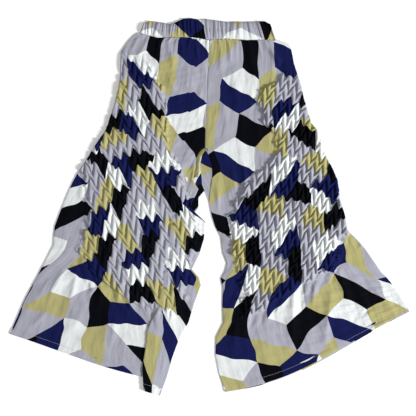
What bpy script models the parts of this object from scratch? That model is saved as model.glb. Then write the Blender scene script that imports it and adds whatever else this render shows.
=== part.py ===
"""Wide-leg trousers with a gathered elastic waist, laid out flat, front side up.

Metres, +Z up, waist towards +Y. The origin is under the middle of the trousers, on the surface they lie on.
The cloth is set in zigzag pleats over the thighs and the lower legs, and hangs smooth at the hems.
Left and right are as seen from above. The tables are in millimetres from the middle of the trousers.
"""
import math
from collections import namedtuple

import bmesh
import bpy
from mathutils import Vector

MM = 0.001

# Driving dimensions, in millimetres
BACK_WALL = 1.6          # thickness of the back panels, which lie flat
SEAM_GAP = 0.3           # between pieces at a seam, and between front and back
CLOTH_WALL = 1.3         # thinnest wall of a front panel
SECTIONS = 20.0          # steps that a leg's length is counted in, from waist seam to hem
PLEATS_PER_SECTION = 3   # pleats follow each other every 15 mm down the leg
RIDGE_AT = 0.70          # a pleat's ridge, as a share of the way from its crease to the next
PLEAT_HEIGHT = 3.0       # rise of a pleat's ridge over its crease
ZIGZAG_HEIGHT = 24.0     # tip to tip of the zigzag that a pleat follows across the leg
STROKE_SHARE = 0.70      # share of a zigzag's width that its long stroke takes
LEG_LENGTH = 880.0       # along the middle of a leg, waist seam to hem
PLEATS_FROM = 1          # section where the first pleat lies, and the section where the last one ends
PLEATS_TO = 16
PLEAT_EDGE = 0.06        # share of the leg's width over which the pleats fade out
PLAIN_ROWS_PER_SECTION = 2
PLAIN_EVERY = 6          # pleats between two rows of the plain inside
PUFF = 1.0               # how far a front panel's middle stands off the back
GATHER_HEIGHT = 1.5
GATHERS = 36             # round the front of the waistband
BAND_WALL = 1.8
BAND_CREST = 1.2
BAND_SWELL = ((0.0, 0.0), (0.12, 0.8), (0.5, 1.0), (0.88, 0.8), (1.0, 0.1))   # place up the band, fullness
BACK_HEM_SHOWS = 4.5     # how far the right back hem reaches out below the front hem
BOW_LEAN = 1.6           # moves the deepest point of a bowed hem towards the inseam
GUIDE_REACH = 1.5        # sections over which the grain evens out the steps of an edge
GUIDE_EDGE = 0.16        # share of the leg's width, at each edge, where the cloth follows those steps

# A leg's outline and its cloth, a row for each section across it. "outer" is the side seam, and "inner" is
# the centre seam down to the crotch and the inseam below it. "bow" is how far the middle of the section
# hangs below the straight line, "spread" widens the pleats at the side seam, and the pleats reach across
# the leg from "pleat_from" to "pleat_to", shares of the way from side seam to inner edge.
Section = namedtuple("Section", "at outer_x outer_y inner_x inner_y bow spread pleat_from pleat_to")

RIGHT_LEG = [
    Section(0.0, 166, 415, -1, 415, 0, 1.4, -0.2, -0.2),
    Section(0.5, 200, 393, -2, 393, 0, 1.4, -0.2, -0.2),
    Section(1.0, 210, 359, -3, 370, 0, 1.4, -0.2, -0.02),
    Section(2.0, 227, 306, -5, 325, 0, 1.4, -0.2, 0.26),
    Section(2.6, 233, 277, -6, 298, 0, 1.4, -0.2, 0.46),
    Section(3.0, 240, 254, -7, 280, 0, 1.4, -0.2, 0.48),
    Section(4.0, 254, 208, -8.5, 235, 0, 1.35, -0.2, 0.47),
    Section(4.4, 271, 188, -9, 217, 0, 1.3, -0.2, 0.45),
    Section(5.0, 278, 157, -10, 190, 0, 1.25, -0.2, 0.37),
    Section(6.0, 299, 110, -12, 144, 0, 1.2, -0.2, 0.44),
    Section(6.5, 309, 89, 0, 122, 0, 1.2, -0.2, 0.52),
    Section(7.0, 319, 66, 6, 102, 0, 1.2, -0.2, 0.60),
    Section(7.6, 323, 40, 6, 76, 0, 1.15, -0.2, 0.68),
    Section(8.0, 324, 20, 2, 57, 0, 1.1, -0.2, 0.74),
    Section(9.0, 338, -24, -2, 12, 0, 1.05, -0.2, 0.83),
    Section(9.8, 343, -58, 5, -24, 0, 1.0, -0.1, 0.88),
    Section(10.4, 365, -79, 13, -50, 0, 1.0, 0.12, 0.90),
    Section(11.0, 386, -102, 27, -76, 0, 1.0, 0.19, 0.92),
    Section(12.0, 413, -141, 32, -117, 0, 1.0, 0.25, 0.93),
    Section(12.6, 428, -164, 42, -141, 0, 1.0, 0.30, 0.92),
    Section(13.0, 440, -175, 38, -160, 0, 1.0, 0.35, 0.90),
    Section(13.5, 446, -182, 27, -180, 0, 1.0, 0.45, 0.88),
    Section(14.0, 452, -189, 32, -205, 1, 1.0, 0.54, 0.88),
    Section(15.0, 461, -201, 31, -245, 4, 1.0, 0.70, 0.88),
    Section(16.0, 470, -213, 33, -290, 8, 1.0, 0.84, 0.88),
    Section(17.0, 477, -226, 15, -326, 12, 1.0, 0.95, 0.90),
    Section(18.0, 485, -238, 14, -372, 16, 1.0, 0.95, 0.90),
    Section(19.0, 492, -250, 23, -417, 20, 1.0, 0.95, 0.90),
    Section(20.0, 499, -262, 38, -463, 24, 1.0, 0.95, 0.90),
]

LEFT_LEG = [
    Section(0.0, -175, 433, -1, 415, 0, 1.3, -0.2, -0.2),
    Section(0.5, -195, 413, -2, 393, 0, 1.3, -0.2, -0.1),
    Section(1.0, -212, 403, -3, 370, 0, 1.3, -0.2, 0.10),
    Section(1.6, -222, 386, -4.2, 343, 0, 1.3, -0.2, 0.26),
    Section(2.0, -222, 366, -5, 325, 0, 1.3, -0.2, 0.34),
    Section(3.0, -223, 326, -7, 280, 0, 1.3, -0.2, 0.48),
    Section(4.0, -230, 288, -8.5, 235, 0, 1.25, -0.2, 0.56),
    Section(5.0, -239, 250, -10, 190, 0, 1.2, -0.2, 0.60),
    Section(6.0, -253, 211, -12, 144, 2, 1.2, -0.2, 0.64),
    Section(6.5, -259, 192, -29, 121, 3, 1.15, -0.2, 0.70),
    Section(7.0, -274, 170, -33, 102, 4, 1.1, -0.2, 0.76),
    Section(7.8, -292, 143, -42, 66, 4, 1.05, -0.2, 0.86),
    Section(8.4, -305, 122, -28, 43, 4, 1.0, -0.2, 0.90),
    Section(9.3, -326, 90, -49, -1, 4, 1.0, 0.02, 0.96),
    Section(9.6, -332, 80, -37, -14, 4, 1.0, 0.06, 0.96),
    Section(10.1, -342, 62, -12, -37, 4, 1.0, 0.10, 0.96),
    Section(11.0, -356, 30, -14, -80, 4, 1.0, 0.16, 0.96),
    Section(12.0, -372, -9, -27, -122, 4, 1.0, 0.19, 0.96),
    Section(13.0, -387, -49, -45, -157, 4, 1.0, 0.20, 0.96),
    Section(13.5, -390, -70, -27, -177, 4, 1.0, 0.20, 0.94),
    Section(14.0, -391, -96, -22, -197, 4, 1.0, 0.20, 0.92),
    Section(15.0, -409, -132, -39, -243, 4, 1.0, 0.34, 0.92),
    Section(16.0, -429, -170, -53, -290, 5, 1.0, 0.70, 0.90),
    Section(17.0, -447, -203, -77, -333, 6, 1.0, 0.95, 0.90),
    Section(18.0, -466, -240, -94, -379, 7, 1.0, 0.95, 0.90),
    Section(19.0, -482, -279, -107, -426, 8, 1.0, 0.95, 0.90),
    Section(20.0, -499, -318, -124, -472, 8, 1.0, 0.95, 0.90),
]

# The loose tuck near the left leg's inseam: the cloth runs under its fold edge by "under", turns back, and
# turns again into the flap that lies on top. "edge" is the fold's place as a share of the way across,
# "turn" is how far round the cloth has turned, in degrees, and "slip" is how far the hem slips along the
# leg inside the tuck.
Tuck = namedtuple("Tuck", "at edge under turn slip")

LEFT_TUCK = [
    Tuck(0.0, 0.79, 0, 4, 0),
    Tuck(15.4, 0.79, 0, 4, 0),
    Tuck(16.0, 0.79, 0, 80, 4),
    Tuck(16.4, 0.79, 3, 180, 8),
    Tuck(17.0, 0.79, 10, 180, 13),
    Tuck(18.0, 0.825, 18, 180, 22),
    Tuck(19.0, 0.848, 20, 180, 30),
    Tuck(20.0, 0.896, 20, 180, 36),
]

HEM_STEPS = 20           # points along a back hem
HEM_CORNER = 0.012       # share of the hem that the back's step under the tuck takes
HEM_TUCKED = 1.5         # how far the back hem stays in behind the tucked front hem
TUCK_RADIUS = 1.0        # of the cloth's middle layer round each turn
TURN_STEPS = 3           # faces round each turn
TUCK_AT = 0.79           # share of the leg's cloth that lies outside the tuck
TUCK_MARGIN = 4.0        # how far past the turned cloth the flap stays up before it comes down

# Soft folds, each a ridge from one place on the leg to another
Fold = namedtuple("Fold", "at_start across_start at_end across_end half_width height")

RIGHT_FOLDS = [
    Fold(0.1, 0.16, 1.6, 0.08, 9, 2.0),
    Fold(6.2, 0.66, 9.0, 0.72, 11, 2.2),
    Fold(6.6, 0.78, 9.4, 0.84, 10, 1.8),
    Fold(15.2, 0.75, 18.8, 0.75, 13, 2.4),
    Fold(17.0, 0.50, 19.8, 0.48, 13, 2.0),
]

LEFT_FOLDS = [
    Fold(0.1, 0.82, 1.4, 0.86, 9, 2.4),
    Fold(1.2, 0.46, 3.4, 0.52, 10, 2.2),
    Fold(6.4, 0.88, 9.4, 0.90, 9, 2.2),
    Fold(16.2, 0.30, 19.0, 0.36, 16, 1.6),
]

# The waistband, a row for each place along it: its seam with the legs, and its top edge
Band = namedtuple("Band", "seam_x seam_y top_x top_y")

WAISTBAND = [
    Band(-175, 433, -166, 458),
    Band(-152, 427, -150, 463),
    Band(-130, 421, -123, 459.5),
    Band(-105, 421.5, -100, 456),
    Band(-87, 422, -85, 460),
    Band(-68, 422, -68, 468.5),
    Band(-45, 422, -48, 470.5),
    Band(-27, 420, -30, 467),
    Band(-1, 415, -8, 468),
    Band(20, 417, 20, 464),
    Band(45, 419, 45, 461),
    Band(88, 415, 85, 461),
    Band(128, 416, 115, 462),
    Band(150, 415.5, 138, 462.5),
    Band(166, 415, 152, 455),
]

# The back panels' inner edges where they show through the open crotch, from the crotch down. Above it the
# back's centre seam lies behind the front's, and below it the inseam is the front's.
CENTRE_BACK = [(-12, 144), (-18, 132), (-24, 104), (-20.5, 74), (-19, 54), (-13, 40)]
LEFT_BACK_INSEAM = [(-28, 22), (-28, -2), (-12, -37)]
RIGHT_BACK_INSEAM = [(-3, 14), (1, 1)]
LEFT_BACK_INSEAM_ENDS = 10.2     # sections where these edges meet the front's inseam
RIGHT_BACK_INSEAM_ENDS = 9.6

# Colour, linear, of each piece's largest print field, and its roughness
PIECE_COLOURS = {
    "front_leg_left": (0.40, 0.40, 0.48),
    "front_leg_right": (0.41, 0.41, 0.49),
    "back_leg_left": (0.012, 0.014, 0.085),
    "back_leg_right": (0.013, 0.015, 0.090),
    "waistband_front": (0.45, 0.42, 0.17),
    "waistband_back": (0.008, 0.008, 0.011),
}
CLOTH_ROUGHNESS = 0.85


def between(table, field, at, key="at"):
    """Read one column of a table at any place along it."""
    rows = table
    if at <= getattr(rows[0], key):
        return getattr(rows[0], field)
    for low, high in zip(rows, rows[1:]):
        if at <= getattr(high, key):
            share = (at - getattr(low, key)) / (getattr(high, key) - getattr(low, key))
            return getattr(low, field) + share * (getattr(high, field) - getattr(low, field))
    return getattr(rows[-1], field)


def smooth(value):
    """Ease from 0 to 1 as value goes from 0 to 1."""
    value = min(1.0, max(0.0, value))
    return value * value * (3.0 - 2.0 * value)


def waist_seam_y(x):
    """Height of the seam between waistband and legs."""
    return between(WAISTBAND, "seam_y", x, key="seam_x")


def edge_point(sections, edge, at):
    """Place on a leg's outer or inner edge."""
    return Vector((between(sections, edge + "_x", at), between(sections, edge + "_y", at)))


def edge_guide(sections, edge, at):
    """The edge with its small steps evened out, which the cloth's grain follows."""
    reach = min(GUIDE_REACH, at, SECTIONS - at)
    steps = [edge_point(sections, edge, at + reach * step / 2) for step in (-2, -1, 0, 1, 2)]
    return sum(steps, Vector((0.0, 0.0))) / len(steps)


def on_leg(sections, at, across):
    """Place on a flat leg: at is a section number, and across goes from the side seam to the inner edge."""
    outer_guide = edge_guide(sections, "outer", at)
    inner_guide = edge_guide(sections, "inner", at)
    chord = inner_guide - outer_guide
    below = Vector((-chord.y, chord.x)).normalized()
    if below.y > 0:
        below.negate()
    bow = between(sections, "bow", at) * math.sin(math.pi * min(1.0, max(0.0, across)) ** BOW_LEAN)
    place = outer_guide + chord * across + below * bow
    near_outer = smooth(1.0 - across / GUIDE_EDGE)
    near_inner = smooth(1.0 - (1.0 - across) / GUIDE_EDGE)
    place += (edge_point(sections, "outer", at) - outer_guide) * near_outer
    place += (edge_point(sections, "inner", at) - inner_guide) * near_inner
    if at < 1.0:
        place.y += (waist_seam_y(place.x) - place.y) * (1.0 - at)
    return place


def pleat_share(sections, at, across):
    """How fully the cloth is pleated at a place: 1 inside the pleated area, easing to 0 outside it."""
    start = smooth(at - PLEATS_FROM - 0.2)
    end = smooth(PLEATS_TO + 0.4 - at)
    inside = smooth((across - between(sections, "pleat_from", at)) / PLEAT_EDGE + 0.5)
    inside *= smooth((between(sections, "pleat_to", at) - across) / PLEAT_EDGE + 0.5)
    return start * end * inside


def fold_rise(sections, folds, at, across):
    """Height that the soft folds lift the cloth by."""
    here = on_leg(sections, at, across)
    rise = 0.0
    for fold in folds:
        if not fold.at_start <= at <= fold.at_end:
            continue
        share = (at - fold.at_start) / (fold.at_end - fold.at_start)
        middle = fold.across_start + share * (fold.across_end - fold.across_start)
        away = (on_leg(sections, at, middle) - here).length / fold.half_width
        rise += fold.height * math.sin(math.pi * share) * math.exp(-away * away)
    return rise


def zigzag(phase):
    """The pleats' zigzag, +1 towards the waist and -1 towards the hem."""
    phase = phase % 1.0
    short = 1.0 - STROKE_SHARE
    if phase < short:
        return -1.0 + 2.0 * phase / short
    return 1.0 - 2.0 * (phase - short) / STROKE_SHARE


Column = namedtuple("Column", "across phase turn_one under turn_two")


def leg_columns(zigzags, tuck_at=None):
    """Columns of a leg, one at each tip of the zigzag, and more round the turns of a tuck."""
    columns = []
    for number in range(zigzags):
        columns.append(Column(number / zigzags, 0.0, 0, 0, 0))
        columns.append(Column((number + 1.0 - STROKE_SHARE) / zigzags, 1.0 - STROKE_SHARE, 0, 0, 0))
    columns.append(Column(1.0, 0.0, 0, 0, 0))
    if tuck_at is None:
        return columns
    steps = [step / TURN_STEPS for step in range(TURN_STEPS + 1)]
    turning = [Column(tuck_at, 0.5, step, 0, 0) for step in steps]
    turning += [Column(tuck_at, 0.5, 1, 1, step) for step in steps]
    before = [column for column in columns if column.across < tuck_at - 0.01]
    after = [column._replace(turn_one=1, under=1, turn_two=1)
             for column in columns if column.across > tuck_at + 0.01]
    return before + turning + after


def leg_rows():
    """Rows down a leg: (section, ridge share, whether the plain inside has the row too)."""
    rows = [(0.0, 0.0, True), (0.5, 0.0, True)]
    for pleat in range((PLEATS_TO - PLEATS_FROM) * PLEATS_PER_SECTION):
        start = PLEATS_FROM + pleat / PLEATS_PER_SECTION
        rows.append((start, 0.0, pleat % PLAIN_EVERY == 0))
        rows.append((start + RIDGE_AT / PLEATS_PER_SECTION, 1.0, False))
    for row in range((int(SECTIONS) - PLEATS_TO) * PLAIN_ROWS_PER_SECTION + 1):
        rows.append((PLEATS_TO + row / PLAIN_ROWS_PER_SECTION, 0.0, True))
    return rows


def tuck_profile(tuck_row, column):
    """Advance across the leg, rise and slope of the cloth at a column of the tuck."""
    turn = math.radians(tuck_row.turn)
    radius = math.pi * TUCK_RADIUS / turn
    first = turn * column.turn_one
    last = turn * (1.0 - column.turn_two)
    advance = radius * math.sin(first) + tuck_row.under * column.under * math.cos(turn)
    rise = radius * (1.0 - math.cos(first)) + tuck_row.under * column.under * math.sin(turn)
    advance += radius * (math.sin(turn) - math.sin(last)) if column.turn_two > 0 else 0.0
    rise += radius * (math.cos(last) - math.cos(turn)) if column.turn_two > 0 else 0.0
    slope = last if column.under else first
    return advance, rise, slope


class Leg:
    """A front leg panel: its sections, folds, pleats and, on the left leg, its tuck."""

    def __init__(self, sections, folds, zigzags, pleat_height, seam_side, tuck=None):
        self.sections = sections
        self.folds = folds
        self.pleat_height = pleat_height
        self.seam_side = seam_side
        self.tuck = tuck
        self.columns = leg_columns(zigzags, TUCK_AT if tuck else None)

    def tuck_row(self, at):
        """The tuck's sizes at a section."""
        return Tuck(at, *(between(self.tuck, field, at) for field in Tuck._fields[1:]))

    def point(self, at, column, ridge, outside):
        """A point of the wall, outside or on the plain inside."""
        spread = between(self.sections, "spread", at)
        across = 1.0 - (1.0 - column.across) ** spread
        pleated = pleat_share(self.sections, at, across)
        if outside:
            at = at - zigzag(column.phase) * pleated * 0.5 * ZIGZAG_HEIGHT * SECTIONS / LEG_LENGTH
        advance, rise, slope, slip = 0.0, 0.0, 0.0, 0.0
        if self.tuck:
            across, advance, rise, slope, slip = self.through_tuck(at, column)
        place = on_leg(self.sections, at, across)
        ahead = (on_leg(self.sections, at, across + 0.01) - place).normalized()
        flat = place + ahead * advance + Vector((0.0, slip))
        lift = PUFF * math.sin(math.pi * across) ** 0.7 * smooth(at) * smooth(SECTIONS - at)
        lift += fold_rise(self.sections, self.folds, at, across)
        height = BACK_WALL + SEAM_GAP + CLOTH_WALL / 2 + lift + rise
        offset = -CLOTH_WALL / 2
        if outside:
            gathered = smooth(1.0 - at / 1.4) * GATHER_HEIGHT * (1.0 if column.phase == 0.0 else 0.0)
            offset = CLOTH_WALL / 2 + ridge * pleated * self.pleat_height + gathered
        flat -= ahead * math.sin(slope) * offset
        height += math.cos(slope) * offset
        flat.x += self.seam_side * SEAM_GAP / 2
        if at < 0.01:
            flat.y -= SEAM_GAP / 2
        return Vector((flat.x, flat.y, height)) * MM

    def through_tuck(self, at, column):
        """Where a column of the left leg lies once the tuck has taken up its cloth."""
        row = self.tuck_row(at)
        width = (on_leg(self.sections, at, 0.0) - on_leg(self.sections, at, 1.0)).length
        start = row.edge + row.under / width
        advance, rise, slope = tuck_profile(row, column)
        spread = between(self.sections, "spread", at)
        tuck_at = 1.0 - (1.0 - TUCK_AT) ** spread
        across = 1.0 - (1.0 - column.across) ** spread
        if column.turn_two >= 1:
            share = (across - tuck_at) / (1.0 - tuck_at)
            across = start + (1.0 - start) * share
            covered = (row.under + TUCK_MARGIN) / (width * (1.0 - row.edge))
            landed = smooth((1.0 - share) / (1.0 - covered))
            return across, advance * (1.0 - share), rise * landed, 0.0, 0.0
        if column.turn_one > 0 or column.across == TUCK_AT:
            along = (column.turn_one + column.under + column.turn_two) / 3.0
            return start, advance, rise, slope, row.slip * (1.0 - along)
        across = start * across / tuck_at
        return across, 0.0, 0.0, 0.0, row.slip * across / start


def add_material(name, colour):
    """A plain cloth material in the piece's own colour."""
    material = bpy.data.materials.new(name)
    material.use_nodes = True
    shader = material.node_tree.nodes["Principled BSDF"]
    shader.inputs["Base Color"].default_value = (*colour, 1.0)
    shader.inputs["Roughness"].default_value = CLOTH_ROUGHNESS
    shader.inputs["Metallic"].default_value = 0.0
    return material


def add_piece(collection, name, data):
    """Link a piece and give it its own material."""
    piece = bpy.data.objects.new(name, data)
    data.materials.append(add_material(name, PIECE_COLOURS[name]))
    collection.objects.link(piece)
    return piece


def wall_between(name, outside, inside, shared):
    """Close a cloth wall between an outside grid and a coarser inside grid.

    shared lists, for each inside row, the outside row that it lies under.
    """
    mesh = bmesh.new()
    top = [[mesh.verts.new(point) for point in row] for row in outside]
    under = [[mesh.verts.new(point) for point in row] for row in inside]
    for grid, flip in ((top, False), (under, True)):
        for upper, lower in zip(grid, grid[1:]):
            for left in range(len(upper) - 1):
                loop = [upper[left], lower[left], lower[left + 1], upper[left + 1]]
                mesh.faces.new(loop[::-1] if flip else loop)
    for end in (0, -1):
        for left in range(len(top[end]) - 1):
            loop = [top[end][left], top[end][left + 1], under[end][left + 1], under[end][left]]
            mesh.faces.new(loop if end == 0 else loop[::-1])
    for edge in (0, -1):
        for number, (first, last) in enumerate(zip(shared, shared[1:])):
            rim = [row[edge] for row in top[first:last + 1]]
            loop = rim[::-1] + [under[number][edge], under[number + 1][edge]]
            mesh.faces.new(loop if edge == 0 else loop[::-1])
    bmesh.ops.recalc_face_normals(mesh, faces=mesh.faces)
    bmesh.ops.triangulate(mesh, faces=mesh.faces)
    data = bpy.data.meshes.new(name)
    mesh.to_mesh(data)
    mesh.free()
    return data


def front_leg(collection, name, leg):
    """Model a front leg as a cloth wall with its pleats raised over a plain inside."""
    rows = leg_rows()
    shared = [number for number, row in enumerate(rows) if row[2]]
    outside = [[leg.point(at, column, ridge, True) for column in leg.columns] for at, ridge, _ in rows]
    inside = [[leg.point(rows[number][0], column, 0.0, False) for column in leg.columns]
              for number in shared]
    return add_piece(collection, name, wall_between(name, outside, inside, shared))


def flat_piece(collection, name, outline, low, thickness):
    """A flat piece of cloth: its outline as a filled curve with the cloth's thickness."""
    curve = bpy.data.curves.new(name, "CURVE")
    curve.dimensions = "2D"
    curve.fill_mode = "BOTH"
    curve.extrude = thickness / 2 * MM
    spline = curve.splines.new("POLY")
    spline.points.add(len(outline) - 1)
    for point, (x, y) in zip(spline.points, outline):
        point.co = (x * MM, y * MM, 0.0, 1.0)
    spline.use_cyclic_u = True
    piece = add_piece(collection, name, curve)
    piece.location.z = (low + thickness / 2) * MM
    return piece


def back_leg(collection, name, sections, side, inseam, inseam_ends, hem_shows, tuck=None):
    """Model a back leg, flat on the surface, under its front leg."""
    outer = [(row.outer_x, row.outer_y) for row in sections[1:]]
    hem = []
    steps = [step / HEM_STEPS for step in range(1, HEM_STEPS)]
    if tuck:
        fold = tuck[-1]
        steps = [step for step in steps if abs(step - fold.edge) > HEM_CORNER]
        steps = sorted(steps + [fold.edge, fold.edge + HEM_CORNER])
    for across in steps:
        place = on_leg(sections, SECTIONS, across)
        if tuck and across <= fold.edge:
            place.y += fold.slip * across / fold.edge + HEM_TUCKED
        place.y -= hem_shows * math.sin(math.pi * across)
        hem.append((place.x, place.y))
    inner = [(row.inner_x, row.inner_y) for row in reversed(sections) if row.at > inseam_ends]
    half = SEAM_GAP / 2 * side
    centre = [(x + half, y) for x, y in CENTRE_BACK]
    start = on_leg(sections, 0.0, 1.0)
    waist = [(row.seam_x, row.seam_y - SEAM_GAP / 2) for row in WAISTBAND if row.seam_x * side > 2]
    if side < 0:
        waist.reverse()
    outline = [(start.x + half, start.y - SEAM_GAP / 2)] + waist + outer + hem + inner
    outline += inseam[::-1] + centre[::-1]
    return flat_piece(collection, name, outline, 0.0, BACK_WALL)


def band_point(share, rise, top):
    """Place on the flat waistband: share along it, rise from its seam to its top edge."""
    along = share * (len(WAISTBAND) - 1)
    number = min(int(along), len(WAISTBAND) - 2)
    low, high = WAISTBAND[number], WAISTBAND[number + 1]
    part = along - number
    seam = Vector((low.seam_x, low.seam_y)).lerp(Vector((high.seam_x, high.seam_y)), part)
    edge = Vector((low.top_x, low.top_y)).lerp(Vector((high.top_x, high.top_y)), part)
    seam.y += SEAM_GAP / 2
    place = seam.lerp(edge, rise)
    return Vector((place.x, place.y, top)) * MM


def waistband_front(collection, name):
    """Model the front of the waistband, its gathers raised as ribs over a plain inside."""
    bottom = BACK_WALL + SEAM_GAP
    columns = range(2 * GATHERS + 1)
    outside = []
    for rise, fullness in BAND_SWELL:
        wall = bottom + BAND_WALL * (0.6 + 0.4 * fullness)
        outside.append([band_point(column / (2 * GATHERS), rise, wall + BAND_CREST * fullness * (column % 2))
                        for column in columns])
    inside = [[band_point(column / (2 * GATHERS), rise, bottom) for column in columns] for rise in (0.0, 1.0)]
    return add_piece(collection, name, wall_between(name, outside, inside, [0, len(BAND_SWELL) - 1]))


def waistband_back(collection, name):
    """Model the back of the waistband, flat on the surface."""
    seam = [(row.seam_x, row.seam_y + SEAM_GAP / 2) for row in WAISTBAND]
    edge = [(row.top_x, row.top_y) for row in WAISTBAND]
    return flat_piece(collection, name, seam + edge[::-1], 0.0, BACK_WALL)


def main():
    """Build the trousers."""
    for leftover in list(bpy.data.objects):
        bpy.data.objects.remove(leftover, do_unlink=True)
    collection = bpy.data.collections.new("wide_leg_trousers")
    bpy.context.scene.collection.children.link(collection)
    left = Leg(LEFT_LEG, LEFT_FOLDS, 14, 0.8 * PLEAT_HEIGHT, -1, LEFT_TUCK)
    right = Leg(RIGHT_LEG, RIGHT_FOLDS, 15, PLEAT_HEIGHT, 1)
    front_leg(collection, "front_leg_left", left)
    front_leg(collection, "front_leg_right", right)
    back_leg(collection, "back_leg_left", LEFT_LEG, -1, LEFT_BACK_INSEAM, LEFT_BACK_INSEAM_ENDS, 0.0,
             LEFT_TUCK)
    back_leg(collection, "back_leg_right", RIGHT_LEG, 1, RIGHT_BACK_INSEAM, RIGHT_BACK_INSEAM_ENDS,
             BACK_HEM_SHOWS)
    waistband_front(collection, "waistband_front")
    waistband_back(collection, "waistband_back")


main()
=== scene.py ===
"""Looks of a pair of wide-leg trousers laid out flat, front side up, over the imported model.

Sizes are in millimetres from the middle of the trousers, with +Y towards the waist and +Z up, unless a name
says otherwise. Left and right are as seen from above. Each piece of cloth is one thin shell on the outline of its
solid: a leg is counted in sections from the waist seam to the hem, and across from the side seam (0) to the
inner edge (1). The pleats follow the directions in Pleating, which are wider apart than the solids' rows of pleats.
"""
from __future__ import annotations

import logging
import math
from collections.abc import Mapping, Sequence
from dataclasses import dataclass, field
from enum import Enum
from typing import Any, NamedTuple

import bpy
import numpy as np
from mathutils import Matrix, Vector


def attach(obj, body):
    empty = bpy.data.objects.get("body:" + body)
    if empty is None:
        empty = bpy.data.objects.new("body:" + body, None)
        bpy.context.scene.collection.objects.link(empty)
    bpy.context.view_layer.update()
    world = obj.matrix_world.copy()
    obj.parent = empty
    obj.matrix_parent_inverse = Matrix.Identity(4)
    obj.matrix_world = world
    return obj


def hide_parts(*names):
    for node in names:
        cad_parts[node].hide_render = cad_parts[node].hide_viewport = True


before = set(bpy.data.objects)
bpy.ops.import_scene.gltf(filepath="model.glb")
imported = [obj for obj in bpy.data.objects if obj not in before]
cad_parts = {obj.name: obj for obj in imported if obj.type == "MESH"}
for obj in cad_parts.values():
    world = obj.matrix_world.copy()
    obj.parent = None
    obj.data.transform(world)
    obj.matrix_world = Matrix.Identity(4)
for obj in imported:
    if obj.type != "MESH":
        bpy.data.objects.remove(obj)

MM = 0.001
Array = np.ndarray

# Sizes shared with the solids
SECTIONS = 20.0              # steps that a leg's length is counted in
LEG_LENGTH = 880.0           # along the middle of a leg, waist seam to hem
SECTION_STEP = LEG_LENGTH / SECTIONS
PLEATS_FROM = 1.0
PLEATS_TO = 16.0
PLEAT_EDGE = 0.06            # share of the leg's width over which the pleats fade out
GUIDE_REACH = 1.5            # sections over which the grain evens out the steps of an edge
GUIDE_EDGE = 0.16            # share of the width, at each edge, where the cloth follows those steps
BOW_LEAN = 1.6               # moves the deepest point of a bowed hem towards the inseam
SEAM_GAP = 0.3
GATHERS = 36                 # round the front of the waistband
BAND_WIDTH = 330.0
BAND_HEIGHT = 44.0
TUCK_AT = 0.79               # share of the left leg's cloth that lies outside the tuck
TUCK_MARGIN = 4.0            # how far past the turned cloth the flap stays up
BACK_HEM_SHOWS = 4.5         # how far the right back hem reaches out below the front hem
HEM_TUCKED = 1.5             # how far the left back hem stays in behind the front hem

# Sizes of the cloth as it shows
SLANT_SHARE = 0.38           # share of a zigzag's width that its slanting stroke takes
PLEAT_TIPS = 1.0             # height of a zigzag, in pleats
PLEAT_POWER = 0.66           # rounds a pleat's ridge and sharpens its crease
RIDGE_SHIFT = 0.07           # how far a ridge lies from the middle between its creases, in pleats
RIDGE_LEAN = 1.3             # how far a ridge leans over its steep side
TIP_ROUND = 0.12             # share of a zigzag over which one stroke turns into the next
TIP_BLUNT = 0.07             # how much a tip is cut short, and over what share of a zigzag
ZIGZAG_DRIFT = 0.14          # how far zigzags and pleats drift out of line, as shares of themselves
PLEAT_DRIFT = 0.22
PLEAT_UNEVEN = 0.30          # how far pleats differ in height
PRINT_FOLLOWS = 0.55         # how far the print follows the zigzag, as a share of it
CREASE_CLOTH = 0.10          # extra cloth beside a crease, in pleats
FRONT_LEVEL = 2.4            # height of a front panel's creases over the surface
BACK_LEVEL = 0.70            # height of a back panel's plain cloth over the surface
BACK_RELIEF = 2.4
LOWEST_FRONT = 2.7           # height under which creases of a front panel turn shallow
PUFF = 1.3                   # how far a front panel's middle stands off the back
SIDE_LEVEL = 1.75            # height of the side seams
EDGE_ROUND = 4.0             # width over which the cloth rounds down to a seam
CENTRE_DIP = 0.9             # depth of the valley along the centre seam
EDGE_NOTCH = 1.6             # how far pleats push the outline out and in
FOLD_SCALE = 1.9             # how deep the soft folds are, against their listed heights
SOFT_RISE = 0.8              # height of the soft rolls of plain cloth
GATHER_RISE = 2.6            # height of the gathers under the waistband
RUN_RISE = 2.6               # height of the ridges that run on below the pleats
BAND_DIP = 1.1               # depth of the waistband's seam
HEM_DEPTH = 15.0             # turned hem, and its line of stitches
HEM_TURN = 0.6               # radius of the fold at the hem
HEM_STEP = 0.5               # rise where the cloth lies double
CREASE_CONTRACTION = 0.35    # extra cloth taken up by the pleats along the leg
TIP_CONTRACTION = 0.50       # extra cloth taken up across the leg
WAIST_CONTRACTION = 0.35     # extra cloth taken up by the gathers


class Section(NamedTuple):
    """A row of a leg's table: its outline, its bowing, and how far the pleats reach across it."""

    at: float
    outer_x: float
    outer_y: float
    inner_x: float
    inner_y: float
    bow: float
    pleat_from: float
    pleat_to: float


class InnerEdge(NamedTuple):
    """A point of a back panel's inner edge where it shows through the open crotch."""

    at: float
    x: float
    y: float


class Fold(NamedTuple):
    """A soft fold: a ridge, or with a negative height a crease, from one place on the flat leg to another."""

    start_x: float
    start_y: float
    end_x: float
    end_y: float
    half_width: float
    height: float


class Tuck(NamedTuple):
    """A row of the tuck near the left inseam: fold edge, cloth turned under, degrees turned, slip of the hem."""

    at: float
    edge: float
    under: float
    turn: float
    slip: float


class Band(NamedTuple):
    """A place along the waistband: its seam with the legs and its top edge."""

    seam_x: float
    seam_y: float
    top_x: float
    top_y: float


class Layer(Enum):
    """Which side of the trousers a panel is on."""

    FRONT = 1
    BACK = -1


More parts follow.
